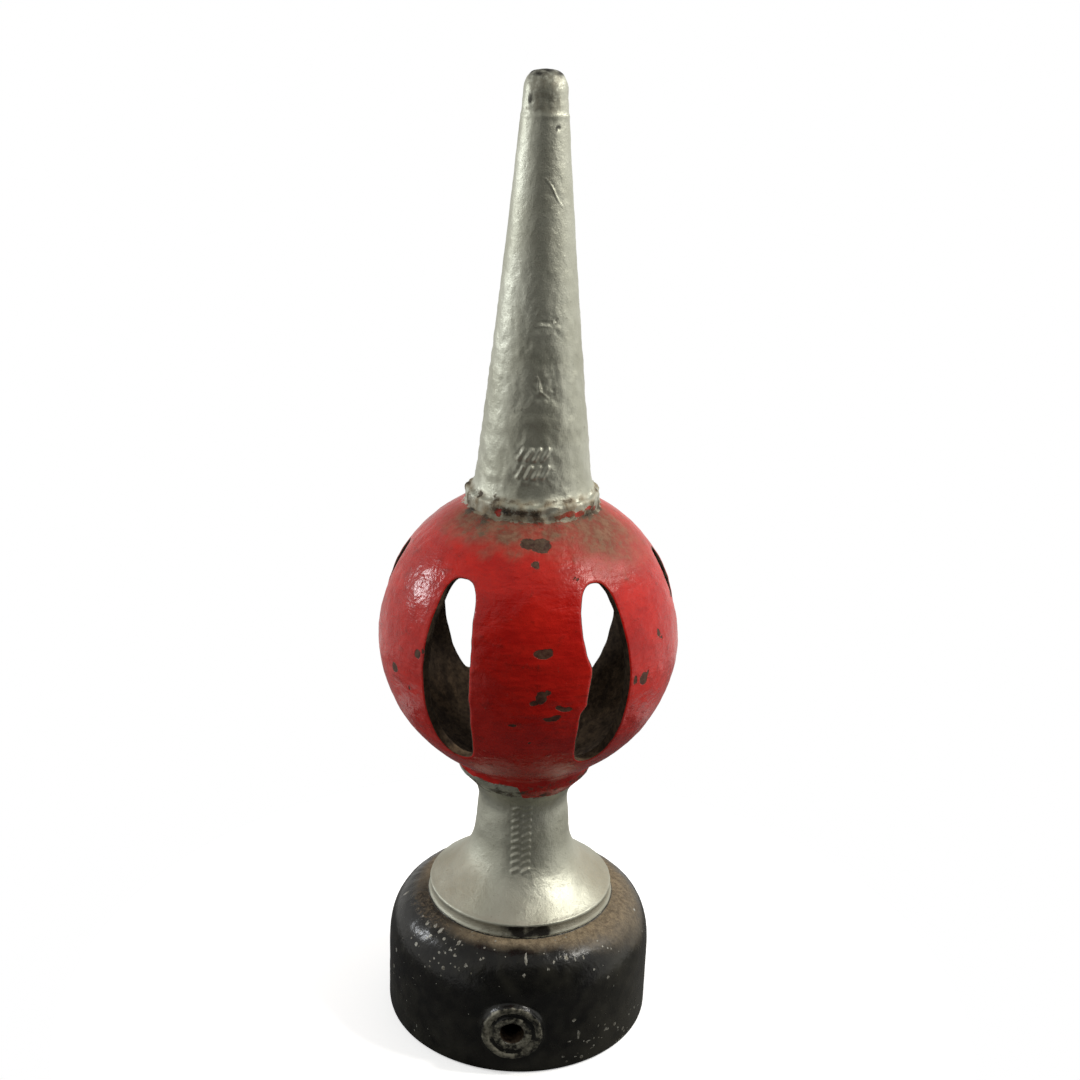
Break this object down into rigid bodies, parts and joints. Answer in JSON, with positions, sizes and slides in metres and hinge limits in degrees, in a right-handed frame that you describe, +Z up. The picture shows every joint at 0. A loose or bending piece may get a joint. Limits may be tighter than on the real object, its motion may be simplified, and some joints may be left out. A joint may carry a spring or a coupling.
{
  "type": "post finial",
  "caption": "Cast finial for a round tubular post: cap socket with set-screw boss, disc foot, waisted neck, slotted hollow ball and tapering round-tipped spike.",
  "frame": {"origin": "centre of the socket's bottom edge, where the cap stands on a flat surface", "axes": "+Z up the spike; the set-screw boss and the cast marks face -Y; slots are even about +Z"},
  "size_m": [0.2064, 0.2096, 0.674],
  "materials": {
    "painted_iron": "worn gloss paint on cast iron: silver spike and neck, red ball, black socket"
  },
  "bodies": {
    "root": {"finial_casting": "painted_iron"}
  },
  "joints": []
}
